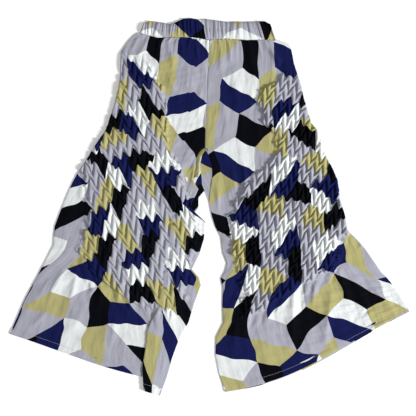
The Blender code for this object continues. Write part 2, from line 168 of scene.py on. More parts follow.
RIGHT_SECTIONS = (
    Section(0.0, 166, 415, -1, 415, 0, -0.2, -0.2),
    Section(0.5, 200, 393, -2, 393, 0, -0.2, -0.2),
    Section(1.0, 210, 359, -3, 370, 0, -0.2, -0.02),
    Section(2.0, 227, 306, -5, 325, 0, -0.2, 0.26),
    Section(2.6, 233, 277, -6, 298, 0, -0.2, 0.46),
    Section(3.0, 240, 254, -7, 280, 0, -0.2, 0.48),
    Section(4.0, 254, 208, -8.5, 235, 0, -0.2, 0.47),
    Section(4.4, 271, 188, -9, 217, 0, -0.2, 0.45),
    Section(5.0, 278, 157, -10, 190, 0, -0.2, 0.37),
    Section(6.0, 299, 110, -12, 144, 0, -0.2, 0.44),
    Section(6.5, 309, 89, 0, 122, 0, -0.2, 0.52),
    Section(7.0, 319, 66, 6, 102, 0, -0.2, 0.60),
    Section(7.6, 323, 40, 6, 76, 0, -0.2, 0.68),
    Section(8.0, 324, 20, 2, 57, 0, -0.2, 0.74),
    Section(9.0, 338, -24, -2, 12, 0, -0.2, 0.83),
    Section(9.8, 343, -58, 5, -24, 0, -0.1, 0.88),
    Section(10.4, 365, -79, 13, -50, 0, 0.12, 0.90),
    Section(11.0, 386, -102, 27, -76, 0, 0.19, 0.92),
    Section(12.0, 413, -141, 32, -117, 0, 0.25, 0.93),
    Section(12.6, 428, -164, 42, -141, 0, 0.30, 0.92),
    Section(13.0, 440, -175, 38, -160, 0, 0.35, 0.90),
    Section(13.5, 446, -182, 27, -180, 0, 0.45, 0.88),
    Section(14.0, 452, -189, 32, -205, 1, 0.54, 0.88),
    Section(15.0, 461, -201, 31, -245, 4, 0.70, 0.88),
    Section(16.0, 470, -213, 33, -290, 8, 0.84, 0.88),
    Section(17.0, 477, -226, 15, -326, 12, 0.95, 0.90),
    Section(18.0, 485, -238, 14, -372, 16, 0.95, 0.90),
    Section(19.0, 492, -250, 23, -417, 20, 0.95, 0.90),
    Section(20.0, 499, -262, 38, -463, 24, 0.95, 0.90),
)

LEFT_SECTIONS = (
    Section(0.0, -175, 433, -1, 415, 0, -0.2, -0.2),
    Section(0.5, -195, 413, -2, 393, 0, -0.2, -0.1),
    Section(1.0, -212, 403, -3, 370, 0, -0.2, 0.10),
    Section(1.6, -222, 386, -4.2, 343, 0, -0.2, 0.26),
    Section(2.0, -222, 366, -5, 325, 0, -0.2, 0.34),
    Section(3.0, -223, 326, -7, 280, 0, -0.2, 0.48),
    Section(4.0, -230, 288, -8.5, 235, 0, -0.2, 0.56),
    Section(5.0, -239, 250, -10, 190, 0, -0.2, 0.60),
    Section(6.0, -253, 211, -12, 144, 2, -0.2, 0.64),
    Section(6.5, -259, 192, -29, 121, 3, -0.2, 0.70),
    Section(7.0, -274, 170, -33, 102, 4, -0.2, 0.76),
    Section(7.8, -292, 143, -42, 66, 4, -0.2, 0.86),
    Section(8.4, -305, 122, -28, 43, 4, -0.2, 0.90),
    Section(9.3, -326, 90, -49, -1, 4, 0.02, 0.96),
    Section(9.6, -332, 80, -37, -14, 4, 0.06, 0.96),
    Section(10.1, -342, 62, -12, -37, 4, 0.10, 0.96),
    Section(11.0, -356, 30, -14, -80, 4, 0.16, 0.96),
    Section(12.0, -372, -9, -27, -122, 4, 0.19, 0.96),
    Section(13.0, -387, -49, -45, -157, 4, 0.20, 0.96),
    Section(13.5, -390, -70, -27, -177, 4, 0.20, 0.94),
    Section(14.0, -391, -96, -22, -197, 4, 0.20, 0.92),
    Section(15.0, -409, -132, -39, -243, 4, 0.34, 0.92),
    Section(16.0, -429, -170, -53, -290, 5, 0.70, 0.90),
    Section(17.0, -447, -203, -77, -333, 6, 0.95, 0.90),
    Section(18.0, -466, -240, -94, -379, 7, 0.95, 0.90),
    Section(19.0, -482, -279, -107, -426, 8, 0.95, 0.90),
    Section(20.0, -499, -318, -124, -472, 8, 0.95, 0.90),
)

LEFT_BACK_EDGE = (
    InnerEdge(6.3, -18, 132), InnerEdge(6.95, -24, 104), InnerEdge(7.6, -20.5, 74), InnerEdge(8.1, -19, 54),
    InnerEdge(8.4, -13, 40), InnerEdge(8.8, -28, 22), InnerEdge(9.3, -28, -2),
)
RIGHT_BACK_EDGE = (
    InnerEdge(6.25, -18, 132), InnerEdge(6.95, -24, 104), InnerEdge(7.6, -20.5, 74), InnerEdge(8.05, -19, 54),
    InnerEdge(8.35, -13, 40), InnerEdge(8.95, -3, 14), InnerEdge(9.25, 1, 1),
)

LEFT_TUCK = (
    Tuck(0.0, 0.79, 0, 4, 0),
    Tuck(15.4, 0.79, 0, 4, 0),
    Tuck(16.0, 0.79, 0, 80, 4),
    Tuck(16.4, 0.79, 3, 180, 8),
    Tuck(17.0, 0.79, 10, 180, 13),
    Tuck(18.0, 0.825, 18, 180, 22),
    Tuck(19.0, 0.848, 20, 180, 30),
    Tuck(20.0, 0.896, 20, 180, 36),
)

RIGHT_FOLDS = (
    Fold(24, 414, 30, 330, 8, 1.7), Fold(58, 416, 48, 352, 7, 1.3), Fold(96, 413, 112, 318, 9, 2.0),
    Fold(132, 412, 190, 352, 8, 2.2), Fold(112, 404, 128, 352, 5, -1.5), Fold(150, 398, 186, 336, 6, 1.6),
    Fold(196, 372, 160, 330, 7, -1.8), Fold(64, 330, 72, 232, 13, 1.5), Fold(30, 292, 44, 196, 12, 1.3),
    Fold(118, 300, 106, 228, 6, -1.4), Fold(80, 118, 93, 10, 7, 2.3), Fold(103, 98, 113, 20, 6, 1.8),
    Fold(58, 108, 64, 32, 8, 1.5), Fold(30, 72, 38, -28, 6, -1.6), Fold(16, 60, 20, -14, 6, 1.4),
    Fold(66, -250, 52, -398, 13, 1.6), Fold(112, -214, 104, -330, 9, -1.5), Fold(158, -205, 146, -296, 8, 1.7),
    Fold(206, -170, 209, -352, 11, 2.6), Fold(226, -186, 232, -268, 5, -1.5), Fold(262, -176, 254, -262, 7, 1.5),
    Fold(300, -206, 288, -352, 11, 2.4), Fold(322, -150, 346, -236, 8, 1.6), Fold(356, -172, 404, -290, 11, 2.0),
    Fold(392, -178, 452, -262, 10, 1.7), Fold(384, -252, 352, -300, 5, -1.4), Fold(414, -238, 374, -286, 5, -1.3),
    Fold(440, -216, 470, -282, 8, 1.2),
)

LEFT_FOLDS = (
    Fold(-42, 420, -32, 360, 6, 2.0), Fold(-24, 418, -20, 350, 6, -1.3), Fold(-72, 420, -66, 352, 8, 1.6),
    Fold(-104, 419, -94, 344, 9, 1.9), Fold(-128, 424, -134, 372, 6, 1.6), Fold(-152, 424, -176, 372, 7, 1.7),
    Fold(-174, 420, -204, 384, 6, 1.2), Fold(-139, 354, -136, 308, 4, -2.0), Fold(-60, 330, -44, 240, 13, 1.4),
    Fold(-104, 330, -84, 268, 10, 1.3), Fold(-26, 300, -30, 210, 8, 1.1), Fold(-54, 112, -68, 10, 5, -2.2),
    Fold(-36, 118, -44, 40, 7, 1.7), Fold(-78, 120, -84, 46, 7, 1.5), Fold(-30, 12, -36, -46, 6, 1.2),
    Fold(-244, -164, -240, -250, 5, -1.9), Fold(-302, -176, -306, -246, 5, -1.7),
    Fold(-222, -172, -230, -246, 5, 1.9), Fold(-270, -170, -272, -262, 8, 1.9),
    Fold(-330, -150, -352, -248, 9, 1.9), Fold(-366, -150, -398, -238, 9, 1.6),
    Fold(-196, -190, -204, -300, 9, 1.7), Fold(-396, -176, -442, -260, 10, 1.5),
    Fold(-278, -196, -296, -234, 4, -1.6), Fold(-322, -262, -344, -336, 12, 1.3),
    Fold(-236, -280, -246, -370, 12, 1.4), Fold(-410, -262, -446, -310, 8, 1.1),
)

WAISTBAND = (
    Band(-175, 433, -166, 458),
    Band(-152, 427, -150, 463),
    Band(-130, 421, -123, 459.5),
    Band(-105, 421.5, -100, 456),
    Band(-87, 422, -85, 460),
    Band(-68, 422, -68, 468.5),
    Band(-45, 422, -48, 470.5),
    Band(-27, 420, -30, 467),
    Band(-1, 415, -8, 468),
    Band(20, 417, 20, 464),
    Band(45, 419, 45, 461),
    Band(88, 415, 85, 461),
    Band(128, 416, 115, 462),
    Band(150, 415.5, 138, 462.5),
    Band(166, 415, 152, 455),
)

# Uneven depths, lengths and drifts that gathers take in turn, so that no two neighbours are alike
GATHER_DEPTH = (1.0, 0.6, 0.85, 0.45, 1.15, 0.7, 0.95, 0.5, 1.1)
GATHER_LENGTH = (24.0, 46.0, 18.0, 62.0, 30.0, 20.0, 54.0)
GATHER_DRIFT = (0.0, 0.18, -0.12, 0.08, -0.2, 0.14, -0.06)


def smooth(value: Array) -> Array:
    """Ease from 0 to 1 as value goes from 0 to 1."""
    value = np.clip(value, 0.0, 1.0)
    return value * value * (3.0 - 2.0 * value)


def rounding(value: Array) -> Array:
    """Quarter of a circle: rise steeply from 0 and level out at 1."""
    value = np.clip(value, 0.0, 1.0)
    return np.sqrt(np.maximum(1.0 - (1.0 - value) ** 2, 0.0))


def taken_in_turn(shares: Sequence[float], number: Array) -> Array:
    """Give each whole number its share from a short list, over and over."""
    return np.asarray(shares, float)[np.asarray(number, int) % len(shares)]


def unevenness(along: Array, across: Array, start: float) -> Array:
    """Slow uneven waves over the cloth.

    Args:
        along: place down the cloth, in sections.
        across: place across the cloth, as a share of its width.
        start: where in the waves this piece of cloth begins.

    Returns:
        A value from about -1 to 1 at each place.
    """
    long = np.sin(2.1 * along + 5.3 * across + start)
    cross = np.sin(3.7 * along - 9.1 * across + 2.0 * start + 1.1)
    short = np.sin(7.9 * along + 17.0 * across + 3.0 * start + 2.3)
    return 0.45 * long + 0.35 * cross + 0.2 * short


def ribs(place: Array, sharpness: float) -> tuple[Array, Array]:
    """Gathers side by side, each with its own drift and depth.

    Args:
        place: place along the gathers, one to each whole number.
        sharpness: power that narrows each gather's crest.

    Returns:
        The height of the gathers, and the number of the gather at each place.
    """
    number = np.floor(place)
    share = place - number
    crest = 0.5 + taken_in_turn(GATHER_DRIFT, number)
    share = np.where(share < crest, 0.5 * share / crest, 0.5 + 0.5 * (share - crest) / (1.0 - crest))
    return np.sin(math.pi * share) ** sharpness * taken_in_turn(GATHER_DEPTH, number), number


def unit(vectors: Array) -> Array:
    """Make vectors one long."""
    return vectors / np.maximum(np.linalg.norm(vectors, axis=-1, keepdims=True), 1e-9)


def sheet_mesh(name: str, places: Array, cloth: Array, face_down: bool) -> bpy.types.Mesh:
    """Make a mesh of a grid of places.

    Args:
        name: name of the mesh.
        places: grid of places in metres, rows by columns by 3.
        cloth: grid of cloth coordinates in metres, rows by columns by 2.
        face_down: whether the outside of the cloth faces the surface.

    Returns:
        The mesh, smooth shaded, with its cloth coordinates as an attribute.
    """
    rows, columns = places.shape[:2]
    corner = (np.arange(rows - 1)[:, None] * columns + np.arange(columns - 1)[None, :]).ravel()
    quads = np.stack((corner, corner + columns, corner + columns + 1, corner + 1), axis=-1)
    if face_down:
        quads = quads[:, ::-1]
    mesh = bpy.data.meshes.new(name)
    mesh.from_pydata(places.reshape(-1, 3).tolist(), [], quads.tolist())
    mesh.update()
    mesh.polygons.foreach_set("use_smooth", np.ones(len(quads), bool))
    flat = np.concatenate((cloth, np.zeros(cloth.shape[:2] + (1,))), axis=-1)
    attribute = mesh.attributes.new("cloth", "FLOAT_VECTOR", "POINT")
    attribute.data.foreach_set("vector", flat.ravel().astype(np.float32))
    return mesh


def dressed(name: str, mesh: bpy.types.Mesh, finish: bpy.types.Material) -> bpy.types.Object:
    """Make an object of a mesh in its finish, and link it to the scene."""
    mesh.materials.append(finish)
    piece = bpy.data.objects.new(name, mesh)
    bpy.context.scene.collection.objects.link(piece)
    return piece


def read_column(table: Sequence[Any], name: str, at: Array) -> Array:
    """Read one named column of a table at any section."""
    return np.interp(at, [row.at for row in table], [getattr(row, name) for row in table])


class Value:
    """A number or colour socket; sums on it add Math nodes."""

    def __init__(self, tree: FinishTree, socket: bpy.types.NodeSocket) -> None:
        """Wrap a socket of a tree."""
        self.tree = tree
        self.socket = socket

    def math(self, operation: str, *others: Value | float, first: bool = True) -> Value:
        """Add a Math node.

        Args:
            operation: the node's operation.
            others: the other operands.
            first: whether this value is the first operand, or the last.

        Returns:
            The node's result.
        """
        operands = (self, *others) if first else (*others, self)
        return self.tree.node("ShaderNodeMath", {"operation": operation}, dict(enumerate(operands)))

    def __add__(self, other: Value | float) -> Value:
        """Sum."""
        return self.math("ADD", other)

    __radd__ = __add__

    def __sub__(self, other: Value | float) -> Value:
        """Difference."""
        return self.math("SUBTRACT", other)

    def __rsub__(self, other: float) -> Value:
        """Difference from a number."""
        return self.math("SUBTRACT", other, first=False)

    def __mul__(self, other: Value | float) -> Value:
        """Product."""
        return self.math("MULTIPLY", other)

    __rmul__ = __mul__

    def __truediv__(self, other: Value | float) -> Value:
        """Quotient."""
        return self.math("DIVIDE", other)

    def __lt__(self, other: Value | float) -> Value:
        """1 where this is less than the other, 0 elsewhere."""
        return self.math("LESS_THAN", other)

    def __gt__(self, other: Value | float) -> Value:
        """1 where this is more than the other, 0 elsewhere."""
        return self.math("GREATER_THAN", other)

    def wrapped(self, size: float) -> Value:
        """Rest of a division, always from 0 to size."""
        return self.math("WRAP", size, 0.0)

    def rounded(self) -> Value:
        """Nearest whole number."""
        return self.math("ROUND")


class FinishTree:
    """The nodes of one material."""

    def __init__(self, name: str) -> None:
        """Start a material with a Principled shader."""
        self.material = bpy.data.materials.new(name)
        self.material.use_nodes = True
        self.nodes = self.material.node_tree.nodes
        self.links = self.material.node_tree.links
        self.shader = self.nodes["Principled BSDF"]

    def node(self, kind: str, settings: Mapping[str, Any], inputs: Mapping[str | int, Any],
             output: str | int = 0) -> Value:
        """Add a node.

        Args:
            kind: the node's type.
            settings: its properties, set first; "stops" are a ramp's places and colours.
            inputs: values or links of its sockets.
            output: the socket that is wanted.

        Returns:
            That output.
        """
        made = self.nodes.new(kind)
        for name, value in settings.items():
            if name == "stops":
                self.set_stops(made.color_ramp, value)
            elif name == "interpolation":
                made.color_ramp.interpolation = value
            else:
                setattr(made, name, value)
        for name, value in inputs.items():
            self.feed(made.inputs[name], value)
        return Value(self, made.outputs[output])

    @staticmethod
    def set_stops(ramp: bpy.types.ColorRamp, stops: Sequence[tuple[float, tuple[float, float, float]]]) -> None:
        """Give a ramp its places and colours."""
        while len(ramp.elements) < len(stops):
            ramp.elements.new(1.0)
        for element, (place, colour) in zip(ramp.elements, stops):
            element.position = place
            element.color = (*colour, 1.0)

    def feed(self, socket: bpy.types.NodeSocket, value: Any) -> None:
        """Link a value to a socket, or set the socket to a constant."""
        if isinstance(value, Value):
            self.links.new(value.socket, socket)
        else:
            socket.default_value = value

    def set(self, name: str, value: Any) -> None:
        """Feed a socket of the material's shader."""
        self.feed(self.shader.inputs[name], value)

    def mixed(self, factor: Value | float, first: Any, second: Any, blend: str = "MIX") -> Value:
        """Mix two colours.

        Args:
            factor: share of the second colour.
            first: colour, or link to one.
            second: colour, or link to one.
            blend: the way they mix.

        Returns:
            The mixed colour.
        """
        return self.node("ShaderNodeMix", {"data_type": "RGBA", "blend_type": blend},
                         {0: factor, 6: first, 7: second}, 2)

    def scaled(self, vector: Value, scale: tuple[float, float, float]) -> Value:
        """Multiply a vector by a size for each axis."""
        return self.node("ShaderNodeVectorMath", {"operation": "MULTIPLY"}, {0: vector, 1: scale})

    def cloth_place(self) -> Value:
        """The cloth coordinates of a piece."""
        return self.node("ShaderNodeAttribute", {"attribute_name": "cloth"}, {}, "Vector")

    def noise(self, vector: Value, scale: float, detail: float, roughness: float = 0.5) -> Value:
        """Noise from 0 to 1."""
        return self.node("ShaderNodeTexNoise", {},
                         {"Vector": vector, "Scale": scale, "Detail": detail, "Roughness": roughness}, 0)


Colour = tuple[float, float, float]


@dataclass(frozen=True)
class PatchworkPrint:
    """A patchwork print of half hexagons in five colours, laid out in a plain repeat."""

    edge: float = 58.0
    drift: float = 22.0
    black: Colour = (0.0012, 0.0015, 0.0034)
    navy: Colour = (0.0060, 0.0090, 0.064)
    olive: Colour = (0.400, 0.372, 0.165)
    grey: Colour = (0.365, 0.370, 0.430)
    white: Colour = (0.70, 0.73, 0.73)

    def colour(self, tree: FinishTree, place: Value) -> Value:
        """Work out the print's colour.

        Args:
            tree: the material's nodes.
            place: the cloth coordinates, in metres.

        Returns:
            The colour link.
        """
        width = self.edge * math.sqrt(3.0) * MM
        rise = math.sqrt(3.0)
        drift = tree.node("ShaderNodeTexNoise", {}, {"Vector": place, "Scale": 16.0, "Detail": 1.0}, "Color")
        drift = tree.node("ShaderNodeVectorMath", {"operation": "SUBTRACT"}, {0: drift, 1: (0.5, 0.5, 0.5)})
        place = tree.node("ShaderNodeVectorMath", {"operation": "ADD"},
                          {0: place, 1: tree.scaled(drift, (self.drift * MM,) * 3)})
        split = tree.node("ShaderNodeSeparateXYZ", {}, {0: tree.scaled(place, (1.0 / width,) * 3)})
        x = split
        y = Value(tree, split.socket.node.outputs[1])
        first_x, first_y = x.wrapped(1.0) - 0.5, y.wrapped(rise) - rise / 2
        second_x, second_y = (x - 0.5).wrapped(1.0) - 0.5, (y - rise / 2).wrapped(rise) - rise / 2
        nearer = (first_x * first_x + first_y * first_y) < (second_x * second_x + second_y * second_y)
        from_x = second_x + nearer * (first_x - second_x)
        from_y = second_y + nearer * (first_y - second_y)
        row = ((y - from_y) / (rise / 2)).rounded()
        column = (x - from_x - row * 0.5).rounded()
        kind = (column - row + 0.25).wrapped(3.0)
        cell = tree.node("ShaderNodeCombineXYZ", {}, {0: column * 1.0, 1: row * 1.0, 2: 4.0})
        chance = tree.node("ShaderNodeTexWhiteNoise", {"noise_dimensions": "3D"}, {"Vector": cell}, "Color")
        picked = tree.node("ShaderNodeSeparateXYZ", {}, {0: chance})
        cut, swap = picked * 3.0, Value(tree, picked.socket.node.outputs[1]) > 0.5
        second_cut, third_cut = (cut > 1.0) * (cut < 2.0), cut > 2.0
        lean_x = 1.0 - second_cut * 0.5 - third_cut * 1.5
        lean_y = (second_cut + third_cut) * (rise / 2)
        half = (from_x * lean_x + from_y * lean_y) > 0.0
        half = half + swap - half * swap * 2.0
        number = (kind - 0.25).rounded() * 2.0 + half
        patches = (self.grey, self.black, self.white, self.navy, self.olive, self.grey)
        stops = [(patch / len(patches), colour) for patch, colour in enumerate(patches)]
        return tree.node("ShaderNodeValToRGB", {"interpolation": "CONSTANT", "stops": stops},
                         {0: (number + 0.5) / len(patches)})


@dataclass(frozen=True)
class PlainDye:
    """Cloth in one colour, a little uneven."""

    shade: Colour = (0.300, 0.268, 0.095)

    def colour(self, tree: FinishTree, place: Value) -> Value:
        """Work out the cloth's colour at its cloth coordinates."""
        deeper = tuple(0.6 * part for part in self.shade)
        return tree.mixed(tree.noise(place, 60.0, 2.0), (*self.shade, 1.0), (*deeper, 1.0))


@dataclass(frozen=True)
class PrintedCloth:
    """Thin matte woven cloth, printed or plain."""

    name: str
    pattern: PatchworkPrint | PlainDye = PatchworkPrint()
    thread: float = 0.55
    roughness: float = 0.80
    sheen: float = 0.01

    def material(self) -> bpy.types.Material:
        """Make the material: the print, the weave's tone and relief, and fine rumples."""
        tree = FinishTree(self.name)
        place = tree.cloth_place()
        colour = self.pattern.colour(tree, place)
        slubs_along = tree.noise(tree.scaled(place, (1.0, 0.12, 1.0)), 900.0, 2.0)
        slubs_across = tree.noise(tree.scaled(place, (0.12, 1.0, 1.0)), 900.0, 2.0)
        wear = tree.noise(place, 28.0, 4.0, 0.6)
        tone = 0.90 + slubs_along * 0.07 + slubs_across * 0.07 + wear * 0.06
        toned = tree.node("ShaderNodeVectorMath", {"operation": "SCALE"}, {0: colour, "Scale": tone})
        faded = tree.mixed(wear * 0.0012, toned, (0.55, 0.56, 0.60, 1.0))
        tree.set("Base Color", faded)
        tree.set("Roughness", self.roughness - 0.08 + wear * 0.12)
        tree.set("Sheen Weight", self.sheen)
        tree.set("Sheen Roughness", 0.55)
        tree.set("Specular IOR Level", 0.04)
        weave = self.weave(tree, place)
        rumple = tree.noise(tree.scaled(place, (1.0, 0.6, 1.0)), 85.0, 4.0)
        rolls = tree.noise(tree.scaled(place, (1.0, 0.28, 1.0)), 34.0, 2.0, 0.45)
        soft = tree.node("ShaderNodeBump", {}, {"Strength": 1.0, "Distance": 0.0055, "Height": rolls}, "Normal")
        fine = tree.node("ShaderNodeBump", {},
                         {"Strength": 0.35, "Distance": 0.00012, "Height": weave, "Normal": soft}, "Normal")
        relief = tree.node("ShaderNodeBump", {},
                           {"Strength": 0.8, "Distance": 0.0012, "Height": rumple, "Normal": fine}, "Normal")
        tree.set("Normal", relief)
        return tree.material

    def weave(self, tree: FinishTree, place: Value) -> Value:
        """Threads that go over and under each other, from 0 to 1."""
        turns = math.pi / (self.thread * MM)
        split = tree.node("ShaderNodeSeparateXYZ", {}, {0: tree.scaled(place, (turns,) * 3)})
        warp = split.math("SINE")
        weft = Value(tree, split.socket.node.outputs[1]).math("SINE")
        return (warp * weft).math("ABSOLUTE") * 0.6 + warp * weft * 0.4


@dataclass(frozen=True)
class Thread:
    """Matte sewing thread."""

    name: str = "sewing_thread"
    colour: Colour = (0.36, 0.37, 0.45)

    def material(self) -> bpy.types.Material:
        """Make the material: twisted plies with a little sheen."""
        tree = FinishTree(self.name)
        place = tree.node("ShaderNodeTexCoord", {}, {}, "Object")
        plies = tree.noise(place, 2200.0, 1.0)
        tone = tree.node("ShaderNodeVectorMath", {"operation": "SCALE"},
                         {0: self.colour, "Scale": 0.85 + plies * 0.3})
        tree.set("Base Color", tone)
        tree.set("Roughness", 0.55)
        tree.set("Sheen Weight", 0.2)
        bump = tree.node("ShaderNodeBump", {}, {"Strength": 0.5, "Distance": 0.0001, "Height": plies}, "Normal")
        tree.set("Normal", bump)
        return tree.material


@dataclass(frozen=True)
class LegOutline:
    """A flat leg: its table of sections and what is read from it."""

    sections: tuple[Section, ...]
    inner_edge: tuple[InnerEdge, ...] = ()
    hem_shows: float = 0.0

    def column(self, name: str, at: Array) -> Array:
        """Read one column of the table at any section."""
        return read_column(self.sections, name, at)

    def edge(self, side: str, at: Array) -> Array:
        """Place on the outer or inner edge."""
        if side == "inner" and self.inner_edge:
            low, high = self.inner_edge[0].at, self.inner_edge[-1].at
            kept = [(row.at, row.inner_x, row.inner_y) for row in self.sections
                    if not low - 0.2 < row.at < high + 0.2]
            rows = sorted(kept + [tuple(row) for row in self.inner_edge])
            stations, xs, ys = zip(*rows)
            return np.stack((np.interp(at, stations, xs), np.interp(at, stations, ys)), axis=-1)
        return np.stack((self.column(f"{side}_x", at), self.column(f"{side}_y", at)), axis=-1)

    def guide(self, side: str, at: Array) -> Array:
        """The edge with its small steps evened out, which the cloth's grain follows."""
        reach = np.minimum(np.minimum(GUIDE_REACH, at), SECTIONS - at)
        return sum(self.edge(side, at + reach * step / 2) for step in (-2, -1, 0, 1, 2)) / 5

    def width(self, at: Array) -> Array:
        """Width of the leg at a section."""
        return np.linalg.norm(self.guide("inner", at) - self.guide("outer", at), axis=-1)

    def place(self, at: Array, across: Array) -> Array:
        """Place on the flat leg.

        Args:
            at: section numbers.
            across: shares of the way from the side seam to the inner edge.

        Returns:
            Places, x and y last.
        """
        outer, inner = self.guide("outer", at), self.guide("inner", at)
        chord = inner - outer
        below = unit(np.stack((-chord[..., 1], chord[..., 0]), axis=-1))
        below = np.where(below[..., 1:] > 0, -below, below)
        held = np.clip(across, 0.0, 1.0)
        bow = self.column("bow", at) * np.sin(math.pi * held ** BOW_LEAN)
        place = outer + chord * across[..., None] + below * bow[..., None]
        place += (self.edge("outer", at) - outer) * smooth(1.0 - across / GUIDE_EDGE)[..., None]
        place += (self.edge("inner", at) - inner) * smooth(1.0 - (1.0 - across) / GUIDE_EDGE)[..., None]
        seam_y = np.interp(place[..., 0], [row.seam_x for row in WAISTBAND], [row.seam_y for row in WAISTBAND])
        place[..., 1] += (seam_y - place[..., 1]) * np.clip(1.0 - at, 0.0, 1.0)
        return place

    def pleated(self, at: Array, across: Array) -> Array:
        """How fully the cloth is pleated: 1 inside the pleated area, easing to 0 with uneven ends."""
        drift = 0.03 * unevenness(3.0 * at, across, 4.0)
        start = smooth(at - PLEATS_FROM - 0.2)
        end = smooth(PLEATS_TO + 0.4 - at)
        low = smooth((across - self.column("pleat_from", at) - drift) / PLEAT_EDGE + 0.5)
        high = smooth((self.column("pleat_to", at) + drift - across) / PLEAT_EDGE + 0.5)
        return start * end * low * high


@dataclass
class Grain:
    """Where each place of a leg lies on the flat, printed cloth."""

    outline: LegOutline
    side: int
    steps_down: int = 401
    steps_across: int = 61

    def __post_init__(self) -> None:
        """Measure the cloth down and across the leg, with what pleats and gathers take up."""
        self.at = np.linspace(0.0, SECTIONS, self.steps_down)
        self.across = np.linspace(0.0, 1.0, self.steps_across)
        at, across = np.meshgrid(self.at, self.across, indexing="ij")
        outer, inner = self.outline.guide("outer", at), self.outline.guide("inner", at)
        place = outer + (inner - outer) * across[..., None]
        direction = unit(inner - outer)
        down = np.stack((-direction[..., 1], direction[..., 0]), axis=-1)
        down = np.where(down[..., 1:] > 0, -down, down)
        moved = np.diff(place, axis=0)
        share = self.evened(self.outline.pleated(at, across))
        taken = 1.0 + CREASE_CONTRACTION * share[1:]
        self.down = np.zeros_like(at)
        self.down[1:] = np.cumsum((moved * down[1:]).sum(axis=-1) * taken, axis=0)
        drift = np.zeros(self.steps_down)
        middle = self.steps_across // 2
        drift[1:] = np.cumsum((moved[:, middle] * direction[1:, middle]).sum(axis=-1))
        gathered = WAIST_CONTRACTION * smooth(1.0 - at / 2.6)
        wide = np.linalg.norm(inner - outer, axis=-1) * (1.0 + TIP_CONTRACTION * share + gathered)
        self.sideways = np.zeros_like(at)
        self.sideways[:, 1:] = np.cumsum(0.5 * (wide[:, 1:] + wide[:, :-1]), axis=1) / (self.steps_across - 1)
        self.sideways += (drift - self.sideways[:, middle])[:, None]

    def cut(self) -> tuple[float, float, float]:
        """Width, length and area of the flat cloth in metres, with what pleats and gathers take up."""
        flat = np.stack((self.sideways, self.down), axis=-1) * MM
        first, second = flat[1:, 1:] - flat[:-1, :-1], flat[1:, :-1] - flat[:-1, 1:]
        area = 0.5 * np.abs(first[..., 0] * second[..., 1] - first[..., 1] * second[..., 0]).sum()
        wide, long = np.ptp(flat.reshape(-1, 2), axis=0)
        return round(float(wide), 3), round(float(long), 3), round(float(area), 3)

    def evened(self, share: Array) -> Array:
        """Spread the pleats' share over their surroundings, as the cloth does."""
        for axis, reach in ((1, 12), (0, 20)):
            total = np.zeros_like(share)
            for step in range(-reach, reach + 1):
                places = np.clip(np.arange(share.shape[axis]) + step, 0, share.shape[axis] - 1)
                total += np.take(share, places, axis=axis)
            share = total / (2 * reach + 1)
        return share

    def read(self, table: Array, at: Array, across: Array) -> Array:
        """Read a table between its steps."""
        down = np.clip(at / SECTIONS, 0.0, 1.0) * (self.steps_down - 1)
        side = np.clip(across, 0.0, 1.0) * (self.steps_across - 1)
        row = np.minimum(down.astype(int), self.steps_down - 2)
        column = np.minimum(side.astype(int), self.steps_across - 2)
        down_share, side_share = down - row, side - column
        upper = table[row, column] * (1 - side_share) + table[row, column + 1] * side_share
        lower = table[row + 1, column] * (1 - side_share) + table[row + 1, column + 1] * side_share
        return upper * (1 - down_share) + lower * down_share

    def cloth(self, at: Array, across: Array) -> Array:
        """Cloth coordinates in millimetres."""
        sideways = -self.side * self.read(self.sideways, at, across)
        return np.stack((sideways, -self.read(self.down, at, across)), axis=-1)


@dataclass(frozen=True)
class Pleating:
    """Zigzag pleats, laid out on two directions, both in millimetres.

    along goes from one zigzag to the next, and down from one pleat to the next. The lines of the pleats slant
    up over the first part of each zigzag and fall back steeply over the rest.
    """

    along: tuple[float, float]
    down: tuple[float, float]
    steep_later: int
    height: float
    start: tuple[float, float] = (0.0, 0.0)

    def read(self, place: Array, wave: Array) -> tuple[Array, Array, Array]:
        """Read the pleats at places on the leg.

        Args:
            place: places, x and y last.
            wave: slow unevenness of the cloth there.

        Returns:
            Height as a share, the zigzag from 0 to 1 at its tip, and how far the cloth runs ahead, in pleats.
        """
        number, pleat = self.counted(place)
        share = number + self.start[0] + ZIGZAG_DRIFT * wave
        share = share - np.floor(share)
        tip = np.where(share < SLANT_SHARE, share / SLANT_SHARE, (1.0 - share) / (1.0 - SLANT_SHARE))
        tip = tip - TIP_BLUNT * np.exp(-(((share - SLANT_SHARE) / TIP_BLUNT) ** 2))
        tip = tip + TIP_BLUNT * np.exp(-((np.minimum(share, 1.0 - share) / TIP_BLUNT) ** 2))
        turned = smooth((share - SLANT_SHARE) / TIP_ROUND + 0.5) * smooth((1.0 - share) / TIP_ROUND + 0.5)
        turned = turned + smooth(0.5 - share / TIP_ROUND)
        ridge = 0.5 + self.steep_later * RIDGE_SHIFT * (1.0 - 2.0 * np.clip(turned, 0.0, 1.0))
        line = pleat + self.start[1] + PLEAT_DRIFT * wave + PLEAT_TIPS * tip
        line = line - np.floor(line)
        phase = np.where(line < ridge, 0.5 * line / ridge, 0.5 + 0.5 * (line - ridge) / (1.0 - ridge))
        return np.sin(math.pi * phase) ** PLEAT_POWER, tip, CREASE_CLOTH * np.sin(2.0 * math.pi * line)

    def counted(self, place: Array) -> tuple[Array, Array]:
        """Count zigzags across and pleats down."""
        (along_x, along_y), (down_x, down_y) = self.along, self.down
        area = along_x * down_y - along_y * down_x
        x, y = place[..., 0], place[..., 1]
        return (x * down_y - y * down_x) / area, (along_x * y - along_y * x) / area


@dataclass
class Spots:
    """Spots on a leg's cloth: section, share across, and turns through the tuck."""

    at: Array
    across: Array
    turn_one: Array
    under: Array
    turn_two: Array


